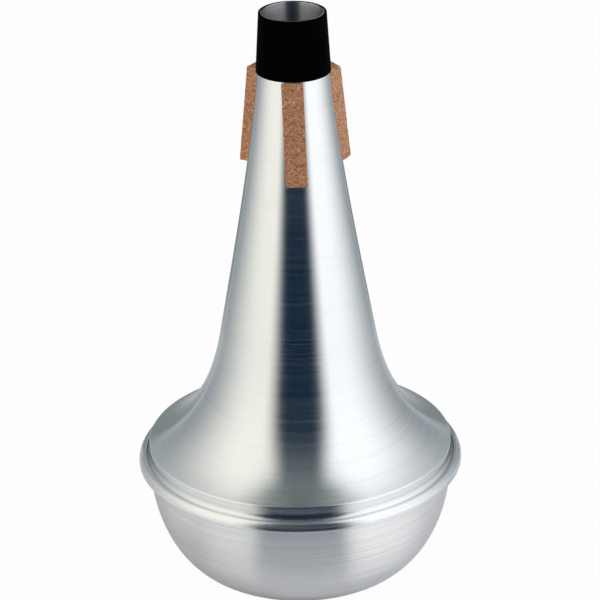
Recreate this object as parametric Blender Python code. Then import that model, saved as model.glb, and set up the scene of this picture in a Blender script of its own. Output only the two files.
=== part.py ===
"""Trombone straight mute: two spun aluminium shells joined by a rolled seam, a rubber collar and three corks.

Metres, +Z up. The origin is the centre of the flat underside, and the neck opens upwards.
Turned outlines are lists of (radius, height) points in the half plane of +X and Z.
"""

import math

import bmesh
import bpy
from mathutils import Matrix, Vector

MM = 0.001

# Sheet metal and assembly
SHEET = 0.8 * MM  # wall of both spun shells
GAP = 0.3 * MM  # clearance between pieces that touch

# Rim
RIM_RADIUS = 75.0 * MM  # widest ring of the bead
BEAD_OVERHANG = 5.0 * MM  # from the walls out to the widest ring
WALL_RADIUS = RIM_RADIUS - BEAD_OVERHANG  # outside of the upright wall, and of the bowl under the bead

# Cone: the neck and the flare are two curves that meet at the waist
MUTE_HEIGHT = 269.0 * MM
NECK_RADIUS = 14.0 * MM  # outside, at the open end
NECK_TAPER = 0.05  # gain of radius per length at the open end
WAIST_HEIGHT = 116.0 * MM
WAIST_RADIUS = 35.6 * MM
WAIST_TAPER = 0.18
SHOULDER_HEIGHT = 62.4 * MM  # where the flare ends, above the underside
FLARE_FALL = math.radians(25)  # slope of the flare where it ends, below level
FLARE_PULL_WAIST = 23.0 * MM  # handle lengths of the flare's curve
FLARE_PULL_SHOULDER = 23.0 * MM
SHOULDER_LAND = 1.2 * MM  # short straight run at the end of the flare
SHOULDER_FILLET = 0.8 * MM
WALL_HEIGHT = 5.9 * MM  # upright wall between the shoulder and the flange
FOOT_FILLET = 3.2 * MM  # the wall runs out into the flange
FLANGE_CLEARANCE = 1.2 * MM  # from the edge of the flange out to the inside of the bead
FLANGE_WIDTH = BEAD_OVERHANG - SHEET - FLANGE_CLEARANCE
FLANGE_FALL = math.radians(21)

# Bead: the bowl's edge, rolled out, up and over the cone's flange
FLANGE_SHOWN = 2.0 * MM  # strip of the flange between the wall and the rolled edge
BEAD_WIDTH = BEAD_OVERHANG - FLANGE_SHOWN  # from the widest ring in to the rolled edge
BEAD_DROP = 4.0 * MM  # from the top of the roll down to the widest ring
BEAD_RISE = 0.4 * MM  # top of the roll above the foot of the wall
BEAD_CORNER = 1.1 * MM  # round lower corner
LEDGE_FILLET = 0.6 * MM
BOWL_LAND = 1.2 * MM  # from the underside of the bead down to the bowl's curve

# Bowl
FLAT_RADIUS = 40.5 * MM  # flat underside
BOWL_PULL_FLAT = 15.3 * MM  # handle lengths of the bowl's curve
BOWL_PULL_RIM = 27.5 * MM

# Seal inside the bead
SEAL_WIDTH = 2.3 * MM

# Collar
COLLAR_LENGTH = 27.0 * MM
COLLAR_WALL_TOP = 0.9 * MM
COLLAR_WALL_FOOT = 0.55 * MM
COLLAR_ROUNDING = 0.35 * MM

# Corks
CORK_WIDTH = 9.6 * MM
CORK_THICKNESS_TOP = 5.15 * MM  # over the metal, at the middle of the strip
CORK_THICKNESS_FOOT = 4.6 * MM
CORKS = {
    "cork_strip_front": {
        "angle": math.radians(-90.0),  # round the mute
        "lean": math.radians(1.7),  # about its own outward axis
        "below_collar": GAP,
        "length": 44.8 * MM,
        "chamfer_height": 0.4 * MM,  # of its lower outer edge
        "chamfer_depth": 0.4 * MM,
    },
    "cork_strip_right": {
        "angle": math.radians(29.0),
        "lean": 0.0,
        "below_collar": 0.8 * MM,
        "length": 44.4 * MM,
        "chamfer_height": 1.6 * MM,
        "chamfer_depth": 3.0 * MM,
    },
    "cork_strip_left": {
        "angle": math.radians(148.0),
        "lean": 0.0,
        "below_collar": 0.4 * MM,
        "length": 45.0 * MM,
        "chamfer_height": 0.4 * MM,
        "chamfer_depth": 0.4 * MM,
    },
}

# Fineness of the facets
TURN_STEPS = 48
NECK_STEPS = 9
FLARE_STEPS = 12
BOWL_STEPS = 10
ROLL_STEPS = 6
CORNER_STEPS = 4
SEAT_STEPS = 14
SHARP_ANGLE = math.radians(35)
WELD = 0.001 * MM


def clear_scene():
    for old in list(bpy.data.objects):
        bpy.data.objects.remove(old, do_unlink=True)


def material(name, colour, metallic, roughness):
    made = bpy.data.materials.new(name)
    made.use_nodes = True
    shader = made.node_tree.nodes["Principled BSDF"]
    shader.inputs["Base Color"].default_value = (*colour, 1.0)
    shader.inputs["Metallic"].default_value = metallic
    shader.inputs["Roughness"].default_value = roughness
    return made


# Outlines

def bezier(start, pull_start, pull_end, end, steps):
    """Points of a cubic curve, both ends included."""
    points = []
    for i in range(steps + 1):
        t = i / steps
        s = 1 - t
        points.append(start * s**3 + pull_start * (3 * s * s * t) + pull_end * (3 * s * t * t) + end * t**3)
    return points


def rounded_corner(before, corner, after, radius):
    """Points of the arc that rounds a corner between two straight runs."""
    back = (before - corner).normalized()
    ahead = (after - corner).normalized()
    half_turn = (math.pi - back.angle(ahead)) / 2
    reach = radius * math.tan(half_turn)
    first = corner + back * reach
    last = corner + ahead * reach
    centre = corner + (back + ahead).normalized() * (radius / math.cos(half_turn))
    arc = []
    for i in range(CORNER_STEPS + 1):
        chord = first.lerp(last, i / CORNER_STEPS) - centre
        arc.append(centre + chord.normalized() * radius)
    return arc


def offset(path, distance):
    """The path moved to its left by a distance, or to its right by a negative one."""
    sharpest_mitre = 2
    moved = []
    for i, point in enumerate(path):
        before = (point - path[max(i - 1, 0)]).normalized()
        after = (path[min(i + 1, len(path) - 1)] - point).normalized()
        along = (before + after).normalized()
        side = Vector((-along.y, along.x))
        one_way = after if after.length else before
        mitre = min(1 / along.dot(one_way), sharpest_mitre)
        moved.append(point + side * (distance * mitre))
    return moved


def neck_and_flare():
    """Outside of the cone from the open end down to the shoulder's straight land."""
    top = Vector((NECK_RADIUS, MUTE_HEIGHT))
    waist = Vector((WAIST_RADIUS, WAIST_HEIGHT))
    fall = Vector((math.cos(FLARE_FALL), -math.sin(FLARE_FALL)))
    land = Vector((WALL_RADIUS, SHOULDER_HEIGHT)) - fall * SHOULDER_LAND
    pull = (MUTE_HEIGHT - WAIST_HEIGHT) / 3
    neck = bezier(
        top,
        top + Vector((NECK_TAPER, -1)) * pull,
        waist - Vector((WAIST_TAPER, -1)) * pull,
        waist,
        NECK_STEPS,
    )
    flare = bezier(
        waist,
        waist + Vector((WAIST_TAPER, -1)) * FLARE_PULL_WAIST,
        land - fall * FLARE_PULL_SHOULDER,
        land,
        FLARE_STEPS,
    )
    return neck + flare[1:]


def cone_radius(height):
    """Outside radius of the cone at a height between the shoulder and the open end."""
    path = neck_and_flare()
    for upper, lower in zip(path, path[1:]):
        if lower.y <= height:
            share = (upper.y - height) / (upper.y - lower.y)
            return upper.x + (lower.x - upper.x) * share
    return path[-1].x


def wall_foot():
    return Vector((WALL_RADIUS, SHOULDER_HEIGHT - WALL_HEIGHT))


def flange_edge():
    return wall_foot() + Vector((1, -math.tan(FLANGE_FALL))) * FLANGE_WIDTH


def cone_path():
    """Outside of the cone's sheet, from the open end to the edge of the flange."""
    path = neck_and_flare()
    shoulder = Vector((WALL_RADIUS, SHOULDER_HEIGHT))
    path += rounded_corner(path[-1], shoulder, wall_foot(), SHOULDER_FILLET)
    path += rounded_corner(shoulder, wall_foot(), flange_edge(), FOOT_FILLET)
    path.append(flange_edge())
    return path


def bead_centre():
    return Vector((RIM_RADIUS - BEAD_WIDTH, wall_foot().y + BEAD_RISE - BEAD_DROP))


def ledge_height():
    """Underside of the bead."""
    return bead_centre().y - BEAD_CORNER


def bowl_path():
    """Outside of the bowl's sheet, from the middle of the underside to the rolled edge."""
    flat = Vector((FLAT_RADIUS, 0))
    wall_top = Vector((WALL_RADIUS, ledge_height() - BOWL_LAND))
    inner_corner = Vector((WALL_RADIUS, ledge_height()))
    outer_corner = Vector((RIM_RADIUS, ledge_height()))
    centre = bead_centre()
    path = [Vector((0, 0))]
    path += bezier(
        flat,
        flat + Vector((BOWL_PULL_FLAT, 0)),
        wall_top - Vector((0, BOWL_PULL_RIM)),
        wall_top,
        BOWL_STEPS,
    )
    path += rounded_corner(wall_top, inner_corner, outer_corner, LEDGE_FILLET)
    path += rounded_corner(inner_corner, outer_corner, Vector((RIM_RADIUS, centre.y)), BEAD_CORNER)[:-1]
    for i in range(ROLL_STEPS + 1):
        turn = math.radians(90) * i / ROLL_STEPS
        path.append(centre + Vector((BEAD_WIDTH * math.cos(turn), BEAD_DROP * math.sin(turn))))
    return path


# Solids

def as_object(name, body, look):
    mesh = bpy.data.meshes.new(name)
    body.to_mesh(mesh)
    body.free()
    mesh.shade_smooth()
    mesh.set_sharp_from_angle(angle=SHARP_ANGLE)
    mesh.materials.append(look)
    made = bpy.data.objects.new(name, mesh)
    bpy.context.collection.objects.link(made)
    return made


def turned(name, outline, look):
    """A solid of revolution about Z from a closed outline; points on the axis become poles."""
    body = bmesh.new()
    ring = [body.verts.new((point.x, 0, point.y)) for point in outline]
    edges = []
    for i, vert in enumerate(ring):
        following = ring[(i + 1) % len(ring)]
        if vert.co.x or following.co.x:
            edges.append(body.edges.new((vert, following)))
    bmesh.ops.spin(
        body,
        geom=edges,
        cent=(0, 0, 0),
        axis=(0, 0, 1),
        angle=math.tau,
        steps=TURN_STEPS,
        use_merge=True,
    )
    bmesh.ops.remove_doubles(body, verts=body.verts, dist=WELD)
    loose = [vert for vert in body.verts if not vert.link_faces]
    bmesh.ops.delete(body, geom=loose, context="VERTS")
    bmesh.ops.recalc_face_normals(body, faces=body.faces)
    return as_object(name, body, look)


def sheet_outline(path, side):
    """A closed outline of sheet thickness beside a path, on its left (1) or its right (-1)."""
    inner = offset(path, side * SHEET)
    return path + inner[::-1]


def cone_shell(look):
    return turned("cone_shell", sheet_outline(cone_path(), -1), look)


def bowl_shell(look):
    return turned("bowl_shell", sheet_outline(bowl_path(), 1), look)


def seam_seal(look):
    """A ring that fills the bead between the bowl's ledge and the underside of the cone's flange."""
    outer = RIM_RADIUS - SHEET - 2 * GAP
    inner = outer - SEAL_WIDTH
    foot = ledge_height() + SHEET + GAP

    def under_flange(radius):
        drop = (radius - WALL_RADIUS) * math.tan(FLANGE_FALL)
        return wall_foot().y - drop - (SHEET + GAP) / math.cos(FLANGE_FALL)

    outline = [
        Vector((inner, under_flange(inner))),
        Vector((outer, under_flange(outer))),
        Vector((outer, foot)),
        Vector((inner, foot)),
    ]
    return turned("seam_seal", outline, look)


def neck_collar(look):
    """A sleeve over the end of the neck, with its outer edges rounded."""
    top = MUTE_HEIGHT
    foot = MUTE_HEIGHT - COLLAR_LENGTH
    bore = [point + Vector((GAP, 0)) for point in neck_and_flare() if point.y > foot + COLLAR_ROUNDING]
    bore.append(Vector((cone_radius(foot) + GAP, foot)))
    outer_top = Vector((NECK_RADIUS + GAP + COLLAR_WALL_TOP, top))
    outer_foot = Vector((cone_radius(foot) + GAP + COLLAR_WALL_FOOT, foot))
    outline = rounded_corner(bore[0], outer_top, outer_foot, COLLAR_ROUNDING)
    outline += rounded_corner(outer_top, outer_foot, bore[-1], COLLAR_ROUNDING)
    outline += bore[::-1]
    return turned("neck_collar", outline, look)


def cork_ends(cork):
    """Heights of a strip's top and foot."""
    top = MUTE_HEIGHT - COLLAR_LENGTH - cork["below_collar"]
    return top, top - cork["length"]


def cork_seat():
    """A closed solid of the space round the metal that the corks keep clear of; it only cuts."""
    margin = CORK_WIDTH
    ends = [cork_ends(cork) for cork in CORKS.values()]
    top = max(end[0] for end in ends) + margin
    foot = min(end[1] for end in ends) - margin
    outline = [Vector((0, top))]
    for i in range(SEAT_STEPS + 1):
        height = top + (foot - top) * i / SEAT_STEPS
        outline.append(Vector((cone_radius(height) + GAP, height)))
    outline.append(Vector((0, foot)))
    seat = turned("cork_seat_cutter", outline, None)
    seat.hide_render = True
    seat.display_type = "WIRE"
    return seat


def cork_strip(name, cork, seat, look):
    """A block with level ends and a flat, sloping outer face, cut to the cone on its inner side."""
    top, foot = cork_ends(cork)
    top_radius = cone_radius(top) + CORK_THICKNESS_TOP
    foot_radius = cone_radius(foot) + CORK_THICKNESS_FOOT
    middle = Vector(((top_radius + foot_radius) / 2, (top + foot) / 2))
    reach = (foot_radius - top_radius) / 2
    half = cork["length"] / 2
    chamfer_top = cork["chamfer_height"] - half
    sunk = 2 * max(CORK_THICKNESS_TOP, CORK_THICKNESS_FOOT)

    # Side outline in the strip's own frame: x outwards from the middle of its outer face, z up
    side = [
        (-sunk, half),
        (-reach, half),
        (-reach * chamfer_top / half, chamfer_top),
        (reach - cork["chamfer_depth"], -half),
        (-sunk, -half),
    ]
    body = bmesh.new()
    near = [body.verts.new((x, -CORK_WIDTH / 2, z)) for x, z in side]
    face = body.faces.new(near)
    pushed = bmesh.ops.extrude_face_region(body, geom=[face])
    moved = [item for item in pushed["geom"] if isinstance(item, bmesh.types.BMVert)]
    bmesh.ops.translate(body, verts=moved, vec=(0, CORK_WIDTH, 0))
    bmesh.ops.recalc_face_normals(body, faces=body.faces)

    strip = as_object(name, body, look)
    place = Matrix.Translation((middle.x, 0, middle.y))
    lean = Matrix.Rotation(cork["lean"], 4, "X")
    strip.matrix_world = Matrix.Rotation(cork["angle"], 4, "Z") @ place @ lean
    cut = strip.modifiers.new("seat", "BOOLEAN")
    cut.operation = "DIFFERENCE"
    cut.solver = "EXACT"
    cut.object = seat
    return strip


def main():
    clear_scene()
    aluminium = material("brushed_aluminium", (0.80, 0.81, 0.82), 1.0, 0.30)
    rubber = material("black_rubber", (0.012, 0.012, 0.014), 0.0, 0.55)
    cork_look = material("cork", (0.42, 0.21, 0.10), 0.0, 0.90)
    sealing = material("grey_sealing_rubber", (0.10, 0.10, 0.10), 0.0, 0.80)
    cone_shell(aluminium)
    bowl_shell(aluminium)
    seam_seal(sealing)
    neck_collar(rubber)
    seat = cork_seat()
    for name, cork in CORKS.items():
        cork_strip(name, cork, seat, cork_look)


main()
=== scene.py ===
import math

import bmesh
import bpy
import numpy as np
from mathutils import Matrix, Vector


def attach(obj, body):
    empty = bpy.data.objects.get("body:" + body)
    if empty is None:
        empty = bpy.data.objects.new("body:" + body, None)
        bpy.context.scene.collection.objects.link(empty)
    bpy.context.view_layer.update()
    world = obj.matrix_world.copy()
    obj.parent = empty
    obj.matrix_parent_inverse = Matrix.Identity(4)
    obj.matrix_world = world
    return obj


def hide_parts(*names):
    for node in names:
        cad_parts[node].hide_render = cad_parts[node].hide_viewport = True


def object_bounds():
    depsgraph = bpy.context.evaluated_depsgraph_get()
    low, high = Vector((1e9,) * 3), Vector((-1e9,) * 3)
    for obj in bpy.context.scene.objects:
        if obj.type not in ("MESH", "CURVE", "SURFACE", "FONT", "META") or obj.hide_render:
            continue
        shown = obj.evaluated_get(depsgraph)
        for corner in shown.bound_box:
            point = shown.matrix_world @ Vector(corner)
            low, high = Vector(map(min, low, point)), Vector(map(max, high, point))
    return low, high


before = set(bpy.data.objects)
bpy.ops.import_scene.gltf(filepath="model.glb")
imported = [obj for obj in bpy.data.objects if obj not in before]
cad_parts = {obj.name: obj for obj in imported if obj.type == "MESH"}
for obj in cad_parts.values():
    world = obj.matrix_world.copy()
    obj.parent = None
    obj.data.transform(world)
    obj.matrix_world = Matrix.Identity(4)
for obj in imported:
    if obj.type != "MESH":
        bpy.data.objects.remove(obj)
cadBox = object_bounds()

mm = 0.001  # in metres
print("frame loaded:", sorted(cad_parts))


# Wiring of shader and geometry nodes

class Wire:
    # a node's output; sums with wires and numbers add Math nodes

    def __init__(self, net, socket):
        self.net = net
        self.socket = socket

    def out(self, name):
        # another output of the same node
        return Wire(self.net, findSocket(self.socket.node.outputs, name))

    def __neg__(self):
        return self.net.maths("SUBTRACT", 0.0, self)

    def __add__(self, other):
        return self.net.maths("ADD", self, other)

    def __radd__(self, other):
        return self.net.maths("ADD", other, self)

    def __sub__(self, other):
        return self.net.maths("SUBTRACT", self, other)

    def __rsub__(self, other):
        return self.net.maths("SUBTRACT", other, self)

    def __mul__(self, other):
        return self.net.maths("MULTIPLY", self, other)

    def __rmul__(self, other):
        return self.net.maths("MULTIPLY", other, self)

    def __truediv__(self, other):
        return self.net.maths("DIVIDE", self, other)

    def __rtruediv__(self, other):
        return self.net.maths("DIVIDE", other, self)

    def __pow__(self, other):
        return self.net.maths("POWER", self, other)

    def __rpow__(self, other):
        return self.net.maths("POWER", other, self)


class Net:
    # a shader or geometry tree that is being wired

    def __init__(self, tree):
        self.tree = tree

    def add(self, kind, settings=None, inputs=None, out=None):
        node = self.tree.nodes.new(kind)
        for name, value in (settings or {}).items():
            if name == "stops":
                setStops(node.color_ramp, value)
            else:
                setattr(node, name, value)
        for key, value in (inputs or {}).items():
            self.feed(findSocket(node.inputs, key), value)
        if not node.outputs:
            return None
        return Wire(self, findSocket(node.outputs, out))

    def feed(self, socket, value):
        if isinstance(value, Wire):
            self.tree.links.new(value.socket, socket)
        else:
            socket.default_value = value

    def maths(self, operation, *values):
        return self.add("ShaderNodeMath", {"operation": operation}, dict(enumerate(values)))

    def vectors(self, operation, *values, out=None):
        settings = {"operation": operation}
        return self.add("ShaderNodeVectorMath", settings, dict(enumerate(values)), out)

    def scaled(self, vector, factor):
        inputs = {"Vector": vector, "Scale": factor}
        return self.add("ShaderNodeVectorMath", {"operation": "SCALE"}, inputs)

    def smooth(self, value, low, high):
        # 0 up to low and 1 from high on, eased between them
        ends = {"Value": value, "From Min": low, "From Max": high}
        return self.add("ShaderNodeMapRange", {"interpolation_type": "SMOOTHSTEP"}, ends)

    def glow(self, colour):
        return self.add("ShaderNodeEmission", {}, {"Color": colour, "Strength": 1.0})

    def blend(self, share, first, second):
        inputs = {"Factor": share, "A": first, "B": second}
        return self.add("ShaderNodeMix", {"data_type": "RGBA"}, inputs)

    def noise(self, place, size, detail, out=None):
        inputs = {"Vector": place, "Scale": 1 / size, "Detail": detail}
        return self.add("ShaderNodeTexNoise", {}, inputs, out)

    def objectPlace(self):
        return self.add("ShaderNodeTexCoord", out="Object")

    def split(self, place):
        x = self.add("ShaderNodeSeparateXYZ", {}, {"Vector": place})
        return x, x.out("Y"), x.out("Z")

    def join(self, x, y, z):
        return self.add("ShaderNodeCombineXYZ", {}, {"X": x, "Y": y, "Z": z})

    def bearing(self, across, along):
        # the angle from along to across, in degrees
        return self.maths("DEGREES", self.maths("ARCTAN2", across, along))


def findSocket(sockets, key):
    # by its number, its name or, with no key, the first that shows
    if isinstance(key, int):
        return sockets[key]
    shown = [socket for socket in sockets if socket.enabled]
    if key is None:
        return shown[0]
    return next(socket for socket in shown if key in (socket.identifier, socket.name))


def setStops(ramp, stops):
    while len(ramp.elements) < len(stops):
        ramp.elements.new(1.0)
    for element, (position, colour) in zip(ramp.elements, stops):
        element.position = position
        element.color = colour


def newMaterial(name):
    made = bpy.data.materials.new(name)
    made.use_nodes = True
    made.node_tree.nodes.clear()
    return made, Net(made.node_tree)


def opaque(colour):
    return (*colour, 1.0)


def between(share, first, second):
    return first + share * (second - first)


def fromAxis(x, y):
    return (x * x + y * y) ** 0.5


# Aluminium

noiseMean = 0.5

aluminium = {
    "colour": (0.80, 0.81, 0.82),
    "roughness": 0.21,
    "roughnessPlay": 0.20,  # how much the fine lines change it
    "spread": 1.0,  # how far the lathe lines spread a highlight along the outline
    "spreadTurn": 0.25,
    "radiusShare": 0.5,  # how much the radius counts in a line's place, next to 1 for the height
    "coarsePitch": 2.4 * mm,
    "ringPitch": 6.0 * mm,  # a few darker lines
    "unevenness": 0.5,  # change of the lines once round the mute
    "detail": 1.0,
    "neckLines": 0.4,  # strength of the lines on the narrow neck, next to 1 at the rim
    "lineGrowth": (25 * mm, 60 * mm),  # radii between which that strength grows
    "fineShare": 0.85,
    "coarseShare": 0.15,
    "shade": 0.20,
    "shadeInside": 0.8,
    "inside": 0.85,  # brightness of the unpolished inside, next to 1 outside
    "ringShade": 0.03,
    "ringNoise": (0.10, 0.16),  # a ring sets in between these values of its noise
    "scratchNoise": (-0.05, 0.22),
    "lineDepth": 0.006 * mm,
}

coneFinish = {
    "rise": -1,  # the outline falls as it goes outwards
    "finePitch": 0.55 * mm,
    "fineLines": 1.0,
    "scratch": 0.018,  # how much of a fine line's light is scattered all round
    "roughnessInside": 0.36,
}

bowlFinish = {
    "rise": 1,
    "finePitch": 0.48 * mm,
    "fineLines": 2.3,
    "scratch": 0.10,
    "roughnessInside": 0.21,
}


def spunAluminium(name, finish):
    made, net = newMaterial(name)
    place = net.objectPlace()
    x, y, z = net.split(place)
    radius = fromAxis(x, y)
    along = radius * aluminium["radiusShare"] + z * finish["rise"]
    uneven = aluminium["unevenness"]
    lines = []
    for pitch in (finish["finePitch"], aluminium["coarsePitch"], aluminium["ringPitch"]):
        spot = net.join(along / pitch, x / radius * uneven, y / radius * uneven)
        lines.append(net.noise(spot, 1.0, aluminium["detail"]) - noiseMean)
    fine, coarse, rings = lines
    growth = net.smooth(radius, *aluminium["lineGrowth"])
    strength = between(growth, aluminium["neckLines"], 1)
    fineShare = aluminium["fineShare"] * finish["fineLines"]
    mixed = (fine * fineShare + coarse * aluminium["coarseShare"]) * strength
    ring = net.smooth(rings, *aluminium["ringNoise"]) * strength * aluminium["ringShade"]
    scratch = net.smooth(fine, *aluminium["scratchNoise"]) * finish["scratch"]
    facing = net.add("ShaderNodeNewGeometry", out="Normal")
    outwards = net.vectors("DOT_PRODUCT", facing, place, out="Value")
    inside = net.maths("LESS_THAN", outwards, 0.0)
    shade = between(inside, aluminium["shade"], aluminium["shadeInside"])
    bright = between(inside, 1, aluminium["inside"]) - ring + mixed * shade
    roughness = between(inside, aluminium["roughness"], finish["roughnessInside"])
    bump = net.add("ShaderNodeBump", {}, {"Height": mixed, "Distance": aluminium["lineDepth"]})
    shader = net.add("ShaderNodeBsdfPrincipled", {}, {
        "Base Color": net.scaled(aluminium["colour"], bright),
        "Metallic": 1 - scratch,
        "Roughness": roughness + fine * strength * aluminium["roughnessPlay"],
        "Anisotropic": aluminium["spread"],
        "Anisotropic Rotation": aluminium["spreadTurn"],
        "Normal": bump,
    })
    net.add("ShaderNodeOutputMaterial", {}, {"Surface": shader})
    return made


# Cork

cork = {
    "granule": 1.1 * mm,
    "warp": 0.5 * mm,  # how far the granules' outlines wander
    "warpDetail": 2.0,
    "brown": (0.445, 0.220, 0.120),
    "dark": (0.30, 0.128, 0.061),
    "light": (0.56, 0.315, 0.195),
    "brownFrom": 0.25,  # share of the granules darker than brown
    "brownTo": 0.75,
    "seamWidth": 0.12,  # in granules, as is grooveWidth
    "speck": 0.40 * mm,
    "speckDetail": 3.0,
    "speckNoise": (0.60, 0.66),
    "speckStrength": 0.7,
    "speckColour": (0.11, 0.040, 0.022),
    "spot": 1.1 * mm,
    "spotDetail": 1.0,
    "spotNoise": (0.70, 0.74),
    "grooveWidth": 0.2,
    "pitNoise": (0.58, 0.70),
    "roughness": 0.9,
    "gloss": 0.25,
}


def corkMaterial(name, paintedLightTint, lightShare, grainDepth):
    made, net = newMaterial(name)
    place = net.objectPlace()
    warp = net.noise(place, cork["granule"], cork["warpDetail"], "Color")
    moved = net.vectors("MULTIPLY_ADD", warp, (cork["warp"],) * 3, place)
    granules = {"Vector": moved, "Scale": 1 / cork["granule"]}
    cells = net.add("ShaderNodeTexVoronoi", {}, granules, "Color")
    seams = net.add("ShaderNodeTexVoronoi", {"feature": "DISTANCE_TO_EDGE"}, granules)
    specks = net.noise(place, cork["speck"], cork["speckDetail"])
    spots = net.noise(place, cork["spot"], cork["spotDetail"])
    lightest = Vector(cork["brown"]).lerp(Vector(cork["light"]), lightShare)
    tone = net.add("ShaderNodeValToRGB", {"stops": [
        (0.0, opaque(cork["dark"])),
        (cork["brownFrom"], opaque(cork["brown"])),
        (cork["brownTo"], opaque(cork["brown"])),
        (1.0, opaque(lightest)),
    ]}, {"Fac": net.add("ShaderNodeSeparateColor", {}, {"Color": cells})})
    seam = 1 - net.smooth(seams, 0.0, cork["seamWidth"])
    speck = net.smooth(specks, *cork["speckNoise"]) * cork["speckStrength"]
    spot = net.smooth(spots, *cork["spotNoise"])
    seamed = net.blend(seam, tone, opaque(cork["dark"]))
    dotted = net.blend(speck, seamed, opaque(cork["speckColour"]))
    flecked = net.blend(spot, dotted, opaque(cork["speckColour"]))
    height = net.smooth(seams, 0.0, cork["grooveWidth"]) - net.smooth(specks, *cork["pitNoise"])
    shader = net.add("ShaderNodeBsdfPrincipled", {}, {
        # painted light: the per-strip colour factor makes each strip a differently lit copy of one
        # cork
        "Base Color": net.vectors("MULTIPLY", flecked, paintedLightTint),
        "Roughness": cork["roughness"],
        "Specular IOR Level": cork["gloss"],
        "Normal": net.add("ShaderNodeBump", {}, {"Height": height, "Distance": grainDepth}),
    })
    net.add("ShaderNodeOutputMaterial", {}, {"Surface": shader})
    return made


# Rubber

rubber = {
    "bloom": 6 * mm,  # size of its paler patches
    "bloomDetail": 4.0,
    "bloomShade": (0.8, 1.2),  # brightness where the bloom is least and most
    "bloomRoughness": 0.15,
    "grain": 0.3 * mm,
    "grainDetail": 2.0,
    "grainDepth": 0.01 * mm,
}

collarFinish = {
    "colour": (0.0004, 0.0004, 0.0006),
    "roughness": 0.5,
    "gloss": 0.005,
}

sealFinish = {
    "colour": (0.10, 0.10, 0.10),
    "roughness": 0.8,
    "gloss": 0.25,
}


def rubberMaterial(name, finish):
    made, net = newMaterial(name)
    place = net.objectPlace()
    bloom = net.noise(place, rubber["bloom"], rubber["bloomDetail"])
    grain = net.noise(place, rubber["grain"], rubber["grainDetail"])
    shader = net.add("ShaderNodeBsdfPrincipled", {}, {
        "Base Color": net.scaled(finish["colour"], between(bloom, *rubber["bloomShade"])),
        "Roughness": finish["roughness"] + (bloom - noiseMean) * rubber["bloomRoughness"],
        "Specular IOR Level": finish["gloss"],
        "Normal": net.add("ShaderNodeBump", {}, {"Height": grain, "Distance": rubber["grainDepth"]}),
    })
    net.add("ShaderNodeOutputMaterial", {}, {"Surface": shader})
    return made


coneMetal = spunAluminium("coneAluminium", coneFinish)
bowlMetal = spunAluminium("bowlAluminium", bowlFinish)
collarRubber = rubberMaterial("collarRubber", collarFinish)
sealRubber = rubberMaterial("sealRubber", sealFinish)
print("materials made")


# Outlines: lists of (radius, height), in metres

cornerSteps = 6
mitreLimit = 0.5  # keeps a shifted corner from running out into a spike


def curvePoints(start, pullStart, pullEnd, end, steps):
    # a curve that leaves start towards pullStart and comes into end from pullEnd
    points = []
    for i in range(steps + 1):
        t = i / steps
        s = 1 - t
        middle = pullStart * (3 * s * s * t) + pullEnd * (3 * s * t * t)
        points.append(start * s**3 + middle + end * t**3)
    return points


def roundedCorner(before, corner, after, radius):
    back = (before - corner).normalized()
    ahead = (after - corner).normalized()
    halfTurn = (math.pi - back.angle(ahead)) / 2
    reach = radius * math.tan(halfTurn)
    first = corner + back * reach
    last = corner + ahead * reach
    centre = corner + (back + ahead).normalized() * (radius / math.cos(halfTurn))
    arc = []
    for i in range(cornerSteps + 1):
        chord = first.lerp(last, i / cornerSteps) - centre
        arc.append(centre + chord.normalized() * radius)
    return arc


def shifted(path, offset):
    # the path moved to its left
    moved = []
    for i, point in enumerate(path):
        before = (point - path[max(i - 1, 0)]).normalized()
        after = (path[min(i + 1, len(path) - 1)] - point).normalized()
        along = (before + after).normalized()
        side = Vector((-along.y, along.x))
        oneWay = after if after.length else before
        moved.append(point + side * (offset / max(along.dot(oneWay), mitreLimit)))
    return moved


sheet = {
    "thickness": 0.8 * mm,
    "edgeRounding": 0.2 * mm,
}


def sheetOutline(path, side):
    # both faces of the sheet and its rounded cut edges; one that starts on the axis stays open
    inner = shifted(path, side * sheet["thickness"])
    rounding = sheet["edgeRounding"]
    outline = path[1:-1]
    outline += roundedCorner(path[-2], path[-1], inner[-1], rounding)
    outline += roundedCorner(path[-1], inner[-1], inner[-2], rounding)
    outline += inner[-2:0:-1]
    if path[0].x > 0:
        outline += roundedCorner(inner[1], inner[0], path[0], rounding)
        outline += roundedCorner(inner[0], path[0], path[1], rounding)
        return outline
    return path[:1] + outline + inner[:1]


# Geometry trees and plain meshes

def newTree(name, inputs, output):
    tree = bpy.data.node_groups.new(name, "GeometryNodeTree")
    for label, kind in inputs.items():
        tree.interface.new_socket(label, in_out="INPUT", socket_type="NodeSocket" + kind)
    tree.interface.new_socket(output, in_out="OUTPUT", socket_type="NodeSocketGeometry")
    net = Net(tree)
    return net, net.add("NodeGroupInput")


def endTree(net, given, output, shape):
    real = net.add("GeometryNodeRealizeInstances", {}, {"Geometry": shape})
    inputs = {"Geometry": real, "Material": given.out("Finish")}
    painted = net.add("GeometryNodeSetMaterial", {}, inputs)
    net.add("NodeGroupOutput", {}, {output: painted})
    return net.tree


def useTree(piece, tree, values):
    modifier = piece.modifiers.new(tree.name, "NODES")
    modifier.node_group = tree
    for item in tree.interface.items_tree:
        if item.in_out == "INPUT" and item.name in values:
            modifier[item.identifier] = values[item.name]


def makePlain(piece):
    # keeps what the modifiers made as the piece's own mesh
    bpy.context.view_layer.update()
    evaluated = piece.evaluated_get(bpy.context.evaluated_depsgraph_get())
    made = bpy.data.meshes.new_from_object(evaluated)
    piece.modifiers.clear()
    piece.data = made


def newObject(name, mesh):
    made = bpy.data.objects.new(name, mesh)
    bpy.context.scene.collection.objects.link(made)
    return made


def meshFrom(body, name):
    mesh = bpy.data.meshes.new(name)
    body.to_mesh(mesh)
    body.free()
    return mesh


# Turned pieces

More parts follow.
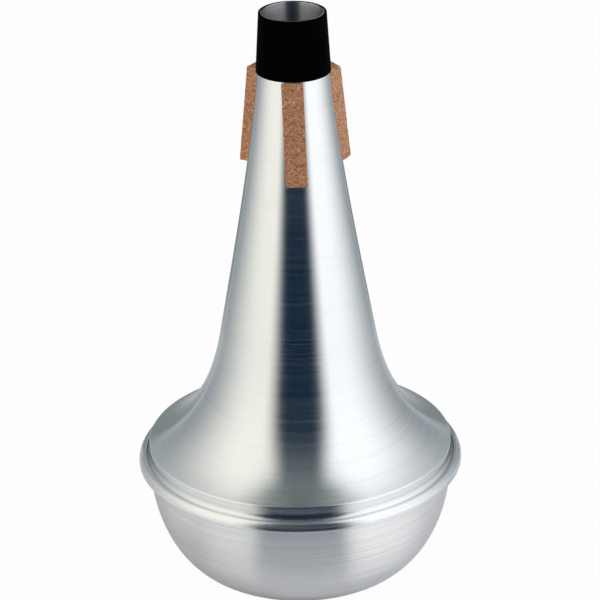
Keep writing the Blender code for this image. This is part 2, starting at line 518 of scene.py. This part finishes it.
def turningTree():
    inputs = {
        "Outline": "Geometry",
        "Turn Radius": "Float",
        "Turn Steps": "Int",
        "Weld": "Float",
        "Finish": "Material",
    }
    net, given = newTree("turnedPart", inputs, "Part")
    radius = given.out("Turn Radius")
    outline = net.add("GeometryNodeMeshToCurve", {}, {"Mesh": given})
    laid = net.add("GeometryNodeTransform", {}, {
        "Geometry": outline,
        "Rotation": (math.pi / 2, 0, 0),
        "Translation": net.join(-radius, 0.0, 0.0),
    })
    circle = net.add("GeometryNodeCurvePrimitiveCircle", {}, {
        "Resolution": given.out("Turn Steps"),
        "Radius": radius,
    })
    swept = net.add("GeometryNodeCurveToMesh", {}, {"Curve": circle, "Profile Curve": laid})
    inputs = {"Geometry": swept, "Distance": given.out("Weld")}
    welded = net.add("GeometryNodeMergeByDistance", {}, inputs)
    return endTree(net, given, "Part", welded)


turning = {
    "radius": 50 * mm,
    "steps": 240,
    "weld": 0.002 * mm,
    "sharpAngle": math.radians(50),
    "tree": turningTree(),
}


def turned(name, outline, finish):
    corners = [(point.x, 0, point.y) for point in outline]
    edges = [(i, i + 1) for i in range(len(corners) - 1)]
    if outline[0].x > 0:
        edges.append((len(corners) - 1, 0))
    mesh = bpy.data.meshes.new(name)
    mesh.from_pydata(corners, edges, [])
    piece = newObject(name, mesh)
    useTree(piece, turning["tree"], {
        "Turn Radius": turning["radius"],
        "Turn Steps": turning["steps"],
        "Weld": turning["weld"],
        "Finish": finish,
    })
    makePlain(piece)
    body = bmesh.new()
    body.from_mesh(piece.data)
    bmesh.ops.recalc_face_normals(body, faces=body.faces)
    body.to_mesh(piece.data)
    body.free()
    piece.data.shade_smooth()
    piece.data.set_sharp_from_angle(angle=turning["sharpAngle"])
    print(name, len(piece.data.polygons), "faces")
    return piece


# Cone: the neck and the flare are two curves that meet at the waist

cone = {
    "height": cadBox[1].z,
    "neckRadius": 14.0 * mm,
    "neckTaper": 0.05,  # growth of the radius for each step down
    "waistHeight": 116.0 * mm,
    "waistRadius": 35.6 * mm,
    "waistTaper": 0.18,
    "shoulderHeight": 62.4 * mm,
    "wallRadius": cadBox[1].x - 5.0 * mm,
    "flareFall": math.radians(25),
    "flarePull": 23.0 * mm,
    "land": 1.2 * mm,
    "shoulderFillet": 0.8 * mm,
    "wallHeight": 5.9 * mm,
    "footFillet": 3.2 * mm,
    "flangeWidth": 3.0 * mm,
    "flangeFall": math.radians(21),
    "neckSteps": 40,
    "flareSteps": 48,
}


def neckAndFlare():
    top = Vector((cone["neckRadius"], cone["height"]))
    waist = Vector((cone["waistRadius"], cone["waistHeight"]))
    fall = Vector((math.cos(cone["flareFall"]), -math.sin(cone["flareFall"])))
    land = Vector((cone["wallRadius"], cone["shoulderHeight"])) - fall * cone["land"]
    neckPull = (cone["height"] - cone["waistHeight"]) / 3  # spaces the heights evenly
    neckEnd = Vector((cone["neckTaper"], -1))
    waistEnd = Vector((cone["waistTaper"], -1))
    neck = curvePoints(
        top,
        top + neckEnd * neckPull,
        waist - waistEnd * neckPull,
        waist,
        cone["neckSteps"],
    )
    flare = curvePoints(
        waist,
        waist + waistEnd * cone["flarePull"],
        land - fall * cone["flarePull"],
        land,
        cone["flareSteps"],
    )
    return neck + flare[1:]


def wallFoot():
    return Vector((cone["wallRadius"], cone["shoulderHeight"] - cone["wallHeight"]))


def conePath():
    path = neckAndFlare()
    shoulder = Vector((cone["wallRadius"], cone["shoulderHeight"]))
    flange = Vector((1, -math.tan(cone["flangeFall"]))) * cone["flangeWidth"]
    flangeEdge = wallFoot() + flange
    path += roundedCorner(path[-1], shoulder, wallFoot(), cone["shoulderFillet"])
    path += roundedCorner(shoulder, wallFoot(), flangeEdge, cone["footFillet"])
    path.append(flangeEdge)
    return path


coneShell = turned("coneShell", sheetOutline(conePath(), -1), coneMetal)
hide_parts("cone_shell")
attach(coneShell, "root")


# Bowl, with its edge rolled out, up and over the cone's flange

bowl = {
    "flatRadius": 40.5 * mm,
    "pullFlat": 15.3 * mm,
    "pullRim": 27.5 * mm,
    "landBelowBead": 1.2 * mm,
    "ledgeFillet": 0.6 * mm,
    "beadRadius": cadBox[1].x,
    "beadWidth": 3.0 * mm,
    "beadDrop": 4.0 * mm,
    "beadRise": 0.4 * mm,
    "beadCorner": 1.1 * mm,
    "curl": math.radians(100),  # how far the roll turns, from its widest ring
    "curveSteps": 44,
    "rollSteps": 16,
}


def bowlPath():
    beadTop = wallFoot().y + bowl["beadRise"]
    centre = Vector((bowl["beadRadius"] - bowl["beadWidth"], beadTop - bowl["beadDrop"]))
    ledge = centre.y - bowl["beadCorner"]
    flat = Vector((bowl["flatRadius"], 0))
    wallTop = Vector((cone["wallRadius"], ledge - bowl["landBelowBead"]))
    innerCorner = Vector((cone["wallRadius"], ledge))
    outerCorner = Vector((bowl["beadRadius"], ledge))
    widest = Vector((bowl["beadRadius"], centre.y))
    path = [Vector((0, 0))]
    path += curvePoints(
        flat,
        flat + Vector((bowl["pullFlat"], 0)),
        wallTop - Vector((0, bowl["pullRim"])),
        wallTop,
        bowl["curveSteps"],
    )
    path += roundedCorner(wallTop, innerCorner, outerCorner, bowl["ledgeFillet"])
    path += roundedCorner(innerCorner, outerCorner, widest, bowl["beadCorner"])[:-1]
    for i in range(bowl["rollSteps"] + 1):
        turn = bowl["curl"] * i / bowl["rollSteps"]
        out = bowl["beadWidth"] * math.cos(turn)
        up = bowl["beadDrop"] * math.sin(turn)
        path.append(centre + Vector((out, up)))
    return path


bowlShell = turned("bowlShell", sheetOutline(bowlPath(), 1), bowlMetal)
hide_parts("bowl_shell")
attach(bowlShell, "root")


# Collar

collar = {
    "length": 27.0 * mm,
    "wallTop": 0.9 * mm,
    "wallFoot": 0.55 * mm,
    "closeFit": 0.05 * mm,
    "rounding": 0.35 * mm,
}

neckLine = neckAndFlare()
neckHeights = [point.y for point in reversed(neckLine)]
neckRadii = [point.x for point in reversed(neckLine)]


def coneRadius(height):
    return np.interp(height, neckHeights, neckRadii)


def collarOutline():
    top = cone["height"]
    foot = top - collar["length"]
    bore = [point for point in neckLine if point.y > foot + collar["rounding"]]
    bore.append(Vector((coneRadius(foot), foot)))
    bore = [point + Vector((collar["closeFit"], 0)) for point in bore]
    outerTop = Vector((cone["neckRadius"] + collar["closeFit"] + collar["wallTop"], top))
    outerFoot = Vector((coneRadius(foot) + collar["closeFit"] + collar["wallFoot"], foot))
    outline = roundedCorner(bore[0], outerTop, outerFoot, collar["rounding"])
    outline += roundedCorner(outerTop, outerFoot, bore[-1], collar["rounding"])
    outline += bore[::-1]
    return outline


neckCollar = turned("neckCollar", collarOutline(), collarRubber)
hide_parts("neck_collar")
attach(neckCollar, "root")


# Cork strips: the solids, made finer, with granules and pits in their faces

strips = {
    # painted light: each strip's colour is multiplied per strip, the side strips lighter and the
    # right one bluer, as lit copies of the front one
    "nodes": {
        "cork_strip_front": {
            "name": "corkFront",
            "paintedLightTint": (1.0, 1.0, 1.0),
            "lightShare": 1.0,  # how light its lightest granules are
            "grainDepth": 0.12 * mm,
        },
        "cork_strip_right": {
            "name": "corkRight",
            "paintedLightTint": (1.08, 1.19, 1.28),
            "lightShare": 0.4,
            "grainDepth": 0.06 * mm,
        },
        "cork_strip_left": {
            "name": "corkLeft",
            "paintedLightTint": (1.14, 1.17, 1.16),
            "lightShare": 0.8,
            "grainDepth": 0.10 * mm,
        },
    },
    "weld": 0.001 * mm,
    "voxel": 0.16 * mm,
    "smoothing": 2,
    "seamWidth": 0.25,  # in granules
    "granuleDepth": 0.09 * mm,
    "pitNoise": (0.60, 0.72),
    "pitDetail": 2.0,
    "pitDepth": 0.25 * mm,
    "pitSize": 1.1 * mm,
    "seed": 4.0,
    "seat": 0.3 * mm,  # the clearance that the solids keep from the metal
    "seatBand": 0.6 * mm,  # what lies farther from the metal stays where it is
    "closeFit": 0.02 * mm,
}


def grainTree():
    inputs = {
        "Strip": "Geometry",
        "Granule": "Float",
        "Granule Depth": "Float",
        "Pit Size": "Float",
        "Pit Depth": "Float",
        "Seed": "Float",
        "Finish": "Material",
    }
    net, given = newTree("corkGrain", inputs, "Grained Strip")
    place = net.add("GeometryNodeInputPosition")
    seed = given.out("Seed")
    granules = net.add(
        "ShaderNodeTexVoronoi",
        {"feature": "DISTANCE_TO_EDGE", "voronoi_dimensions": "4D"},
        {"Vector": place, "W": seed, "Scale": 1 / given.out("Granule")},
    )
    pitScale = 1 / given.out("Pit Size")
    pits = net.add(
        "ShaderNodeTexNoise",
        {"noise_dimensions": "4D"},
        {"Vector": place, "W": seed, "Scale": pitScale, "Detail": strips["pitDetail"]},
    )
    seamDip = (1 - net.smooth(granules, 0.0, strips["seamWidth"])) * given.out("Granule Depth")
    pitDip = net.smooth(pits, *strips["pitNoise"]) * given.out("Pit Depth")
    offset = net.scaled(net.add("GeometryNodeInputNormal"), -seamDip - pitDip)
    dipped = net.add("GeometryNodeSetPosition", {}, {"Geometry": given, "Offset": offset})
    return endTree(net, given, "Grained Strip", dipped)


def closeToMetal(piece):
    # draws in the side that faces the neck, which closes the clearance of the solid
    for vertex in piece.data.vertices:
        out = math.hypot(vertex.co.x, vertex.co.y)
        metal = coneRadius(vertex.co.z)
        stand = out - metal
        if stand < strips["seatBand"]:
            share = (stand - strips["seat"]) / (strips["seatBand"] - strips["seat"])
            wanted = metal + max(share * strips["seatBand"], strips["closeFit"])
            vertex.co.x *= wanted / out
            vertex.co.y *= wanted / out


def corkStrip(node, look, tree):
    name = look["name"]
    body = bmesh.new()
    body.from_mesh(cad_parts[node].data)
    bmesh.ops.remove_doubles(body, verts=body.verts, dist=strips["weld"])
    piece = newObject(name, meshFrom(body, name))
    finer = piece.modifiers.new("finer", "REMESH")
    finer.mode = "VOXEL"
    finer.voxel_size = strips["voxel"]
    worn = piece.modifiers.new("worn", "SMOOTH")
    worn.iterations = strips["smoothing"]
    useTree(piece, tree, {
        "Granule": cork["granule"],
        "Granule Depth": strips["granuleDepth"],
        "Pit Size": strips["pitSize"],
        "Pit Depth": strips["pitDepth"],
        "Seed": strips["seed"],
        "Finish": corkMaterial(name, look["paintedLightTint"], look["lightShare"], look["grainDepth"]),
    })
    makePlain(piece)
    closeToMetal(piece)
    piece.data.shade_smooth()
    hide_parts(node)
    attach(piece, "root")
    print(name, len(piece.data.polygons), "faces")


corkGrain = grainTree()
for node, look in strips["nodes"].items():
    corkStrip(node, look, corkGrain)


# Seal: the solid stays, inside the bead

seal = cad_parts["seam_seal"]
seal.data.materials.clear()
seal.data.materials.append(sealRubber)
print("pieces made")


# Surroundings; bearings are in degrees from the camera's side, right is positive

pureWhite = (1.0, 1.0, 1.0, 1.0)
darkSide = (0.001, 0.015, 0.040)  # the unlit studio behind the camera


def whiteShare(net, seen, mirrored):
    # how much of the white ground shows to the camera, and how much in metal and glass
    path = net.add("ShaderNodeLightPath", out="Is Camera Ray")
    bounced = net.maths("MAXIMUM", path.out("Is Glossy Ray"), path.out("Is Transmission Ray"))
    return path * seen + bounced * mirrored


def newPlate(name, corners, faces, finish):
    mesh = bpy.data.meshes.new(name)
    mesh.from_pydata(corners, [], faces)
    mesh.materials.append(finish)
    return newObject(name, mesh)


# Floor

floor = {
    "size": 3.0,
    "colour": (0.64, 0.64, 0.64),
    "paintedShade": (0.37, 0.38, 0.40),  # painted shade: darker in front, standing in for the dark camera side that the floor would reflect
    "paintedShadeAhead": (40 * mm, 112 * mm),  # it sets in between these distances
    "paintedShadeEases": (130 * mm, 190 * mm),  # farther out it eases off by the share on the next line
    "paintedShadeLoss": 0.7,
    "paintedShadeSide": (20.0, 32.0),  # to the sides it fades out between these bearings
    "white": 0.97,
    "whiteInMetal": 0.02,
    # painted reflection: in the metal the floor glows whiter on the way to each soft box, and a
    # little beside, as the soft boxes' sheen on it; starts and ends are bearings, reach is the
    # distance from the axis
    "paintedSheens": {
        "right": {
            "white": 0.95,
            "starts": (20.0, 40.0),
            "ends": (48.0, 90.0),
            "reach": (50 * mm, 100 * mm),
        },
        "left": {
            "white": 0.28,
            "starts": (-22.0, -38.0),
            "ends": (-48.0, -66.0),
            "reach": (50 * mm, 100 * mm),
        },
        "besideRight": {
            "white": 0.24,
            "starts": (52.0, 78.0),
            "ends": (86.0, 108.0),
            "reach": (70 * mm, 120 * mm),
        },
        "besideLeft": {
            "white": 0.24,
            "starts": (-52.0, -78.0),
            "ends": (-86.0, -108.0),
            "reach": (70 * mm, 120 * mm),
        },
    },
}


def floorMaterial():
    made, net = newMaterial("floor")
    x, y = net.split(net.objectPlace())[:2]
    ahead = -y
    turn = net.bearing(x, ahead)
    reach = fromAxis(x, y)
    # painted shade on the floor in front, seen mostly in the metal
    paintedShade = net.smooth(ahead, *floor["paintedShadeAhead"])
    paintedShade = paintedShade * (1 - net.smooth(ahead, *floor["paintedShadeEases"]) * floor["paintedShadeLoss"])
    paintedShade = paintedShade * (1 - net.smooth(net.maths("ABSOLUTE", turn), *floor["paintedShadeSide"]))
    colour = net.blend(paintedShade, opaque(floor["colour"]), opaque(floor["paintedShade"]))
    # painted reflection: the floor glows white in the metal only, in lobes towards the soft boxes
    mirrored = floor["whiteInMetal"]
    for sheen in floor["paintedSheens"].values():
        lobe = net.smooth(turn, *sheen["starts"]) * (1 - net.smooth(turn, *sheen["ends"]))
        mirrored = mirrored + lobe * net.smooth(reach, *sheen["reach"]) * sheen["white"]
    shown = net.add("ShaderNodeMixShader", {}, {
        0: whiteShare(net, floor["white"], mirrored),
        1: net.add("ShaderNodeBsdfDiffuse", {}, {"Color": colour}),
        2: net.glow(pureWhite),
    })
    net.add("ShaderNodeOutputMaterial", {}, {"Surface": shown})
    return made


def makeFloor():
    half = floor["size"] / 2
    corners = [(-half, -half, 0), (half, -half, 0), (half, half, 0), (-half, half, 0)]
    return newPlate("floor", corners, [(0, 1, 2, 3)], floorMaterial())


# What only reflections see

def newGlow(name):
    # its light reaches the metal alone, so no rays are aimed at it as at a lamp
    made, net = newMaterial(name)
    made.cycles.emission_sampling = "NONE"
    return made, net


def seenInMetalOnly(piece):
    piece.visible_camera = False
    piece.visible_diffuse = False
    piece.visible_transmission = False
    piece.visible_volume_scatter = False
    piece.visible_shadow = False
    return piece


# Tent: soft panels left and right, dark towards the camera, dim behind and above

tent = {
    "radius": 340 * mm,
    "middle": 120 * mm,  # height of its centre, from which a climb is measured, in degrees
    "segments": 96,
    "rings": 48,
    "panelLeft": (1.08, 1.07, 0.98),
    "panelRight": (1.22, 1.24, 1.26),
    "leftToRight": (-10.0, 10.0),
    "innerEdge": (20.0, 44.0),  # the panels begin between these bearings
    "innerLean": 0.16,  # for each degree of climb
    "innerLeanEnds": 35.0,
    "outerEdge": (53.0, 139.0),  # and fade to what is behind between these
    "outerLean": 0.4,
    "outerLater": 4.0,  # on the right, in degrees
    "behind": (0.335, 0.37, 0.39),
    "corner": (0.48, 0.53, 0.56),
    "cornerEdge": (135.0, 141.0),
    "cornerLater": 5.0,
    "backdrop": (0.25, 0.28, 0.29),
    "backdropFoot": (0.38, 0.42, 0.43),
    "backdropEdge": (141.0, 144.0),
    "backdropClimb": (-22.0, -12.0),
    "frontClimb": (10.0, 62.0),  # the dark side turns into the ceiling between these climbs
    "frontCurve": 1.15,
    "ceiling": (0.17, 0.205, 0.208),
    "ceilingEdge": (56.0, 77.0),
    "ceilingDrop": 8.0,  # it comes lower towards the camera, by this many degrees
    "ceilingDropEdge": (35.0, 80.0),
    "glow": (0.98, 1.04),  # its strength below and above the climbs of glowClimb
    "glowClimb": (0.0, 20.0),
}


def tentMaterial():
    made, net = newGlow("reflectionTent")
    x, y, z = net.split(net.objectPlace())
    turn = net.bearing(x, -y)
    side = net.maths("ABSOLUTE", turn)
    climb = net.bearing(z - tent["middle"], fromAxis(x, y))
    above = net.maths("MAXIMUM", climb, 0.0)
    right = net.smooth(turn, *tent["leftToRight"])
    panel = net.blend(right, opaque(tent["panelLeft"]), opaque(tent["panelRight"]))
    outer = side - above * tent["outerLean"] - right * tent["outerLater"]
    wall = net.blend(net.smooth(outer, *tent["outerEdge"]), panel, opaque(tent["behind"]))
    corner = side - right * tent["cornerLater"]
    wall = net.blend(net.smooth(corner, *tent["cornerEdge"]), wall, opaque(tent["corner"]))
    up = net.smooth(climb, *tent["backdropClimb"])
    backdrop = net.blend(up, opaque(tent["backdropFoot"]), opaque(tent["backdrop"]))
    wall = net.blend(net.smooth(corner, *tent["backdropEdge"]), wall, backdrop)
    fade = net.smooth(climb, *tent["frontClimb"]) ** tent["frontCurve"]
    front = net.blend(fade, opaque(darkSide), opaque(tent["ceiling"]))
    lean = net.maths("MINIMUM", above, tent["innerLeanEnds"]) * tent["innerLean"]
    ring = net.blend(net.smooth(side + lean, *tent["innerEdge"]), front, wall)
    drop = (1 - net.smooth(side, *tent["ceilingDropEdge"])) * tent["ceilingDrop"]
    ceiling = net.smooth(climb + drop, *tent["ceilingEdge"])
    whole = net.blend(ceiling, ring, opaque(tent["ceiling"]))
    strength = between(net.smooth(climb, *tent["glowClimb"]), *tent["glow"])
    shown = net.glow(net.scaled(whole, strength))
    net.add("ShaderNodeOutputMaterial", {}, {"Surface": shown})
    return made


def makeTent():
    body = bmesh.new()
    bmesh.ops.create_uvsphere(
        body,
        u_segments=tent["segments"],
        v_segments=tent["rings"],
        radius=tent["radius"],
    )
    bmesh.ops.translate(body, verts=body.verts, vec=(0, 0, tent["middle"]))
    mesh = meshFrom(body, "reflectionTent")
    mesh.shade_smooth()
    mesh.materials.append(tentMaterial())
    return seenInMetalOnly(newObject("reflectionTent", mesh))


# Flag: a low black card in front, that darkens the wall above the bead

flag = {
    "radius": 120 * mm,
    "foot": 28 * mm,
    "top": 120 * mm,
    "angle": 26,  # degrees to each side
    "fade": 12,
    "steps": 24,
}


def flagMaterial():
    made, net = newGlow("blackCard")
    x, y = net.split(net.objectPlace())[:2]
    side = net.maths("ABSOLUTE", net.bearing(x, -y))
    faded = net.add("ShaderNodeMixShader", {}, {
        0: net.smooth(side, flag["angle"] - flag["fade"], flag["angle"]),
        1: net.glow(opaque(darkSide)),
        2: net.add("ShaderNodeBsdfTransparent"),
    })
    net.add("ShaderNodeOutputMaterial", {}, {"Surface": faded})
    return made


def makeFlag():
    steps = flag["steps"]
    corners = []
    for i in range(steps + 1):
        angle = math.radians(flag["angle"] * (2 * i / steps - 1))
        x = flag["radius"] * math.sin(angle)
        y = -flag["radius"] * math.cos(angle)
        corners += [(x, y, flag["foot"]), (x, y, flag["top"])]
    faces = [(i, i + 2, i + 3, i + 1) for i in range(0, 2 * steps, 2)]
    return seenInMetalOnly(newPlate("blackCard", corners, faces, flagMaterial()))


# Neck cards: the tent's top is nearer than a real ceiling, so these keep it out of the neck

neckCard = {
    "half": 15 * mm,
    "away": 25 * mm,
    "foot": 272 * mm,
    "top": 312 * mm,
}


def makeNeckCard(name, y):
    made, net = newGlow(name)
    net.add("ShaderNodeOutputMaterial", {}, {"Surface": net.glow(opaque(darkSide))})
    half = neckCard["half"]
    low = neckCard["foot"]
    high = neckCard["top"]
    corners = [(-half, y, low), (half, y, low), (half, y, high), (-half, y, high)]
    return seenInMetalOnly(newPlate(name, corners, [(0, 1, 2, 3)], made))


makeFloor()
makeTent()
makeFlag()
makeNeckCard("neckCardFront", -neckCard["away"])
makeNeckCard("neckCardBack", neckCard["away"])


# Light

ambientStrength = 0.40

lamps = {
    "lampLeft": {
        "place": (-1.35, -0.35, 0.75),
        "watts": 14.0,
        "size": 0.9,
        "colour": (1.0, 0.99, 0.95),
    },
    "lampRight": {
        "place": (1.35, -0.35, 0.75),
        "watts": 20.0,
        "size": 0.9,
        "colour": (0.96, 1.0, 1.04),
    },
    "lampTop": {
        "place": (0, -0.4, 1.5),
        "watts": 3.0,
        "size": 1.0,
        "colour": (1.0, 1.0, 1.0),
    },
}
lampAim = (0, 0, 0.13)


def lightWorld():
    world = bpy.data.worlds.new("studio")
    bpy.context.scene.world = world
    world.use_nodes = True
    world.node_tree.nodes.clear()
    net = Net(world.node_tree)
    ambient = {"Color": pureWhite, "Strength": ambientStrength}
    shown = net.add("ShaderNodeMixShader", {}, {
        0: whiteShare(net, 1.0, 1.0),
        1: net.add("ShaderNodeBackground", {}, ambient),
        2: net.add("ShaderNodeBackground", {}, {"Color": pureWhite, "Strength": 1.0}),
    })
    net.add("ShaderNodeOutputWorld", {}, {"Surface": shown})


def pointAt(place, aim):
    back = (Vector(place) - Vector(aim)).to_track_quat("Z", "Y")
    return Matrix.Translation(place) @ back.to_matrix().to_4x4()


def makeLamp(name, lamp):
    light = bpy.data.lights.new(name, "AREA")
    light.size = lamp["size"]
    light.energy = lamp["watts"]
    light.color = lamp["colour"]
    made = newObject(name, light)
    made.matrix_world = pointAt(lamp["place"], lampAim)
    made.visible_glossy = False


lightWorld()
for name, lamp in lamps.items():
    makeLamp(name, lamp)
print("studio made")


# Camera, where the photograph was taken from

camera = {
    "place": (0, -1.1109, 0.6382),
    "fall": math.radians(24.52),
    "lean": math.radians(-1.03),
    "lens": 161.16,  # in millimetres
    "shift": 0.00413,
}


def makeCamera():
    lens = bpy.data.cameras.new("camera")
    lens.lens = camera["lens"]
    lens.shift_x = camera["shift"]
    made = newObject("camera", lens)
    tilt = Matrix.Rotation(math.radians(90) - camera["fall"], 4, "X")
    lean = Matrix.Rotation(camera["lean"], 4, "Z")
    made.matrix_world = Matrix.Translation(camera["place"]) @ tilt @ lean
    bpy.context.scene.camera = made


makeCamera()
bpy.context.scene.view_settings.view_transform = "Standard"
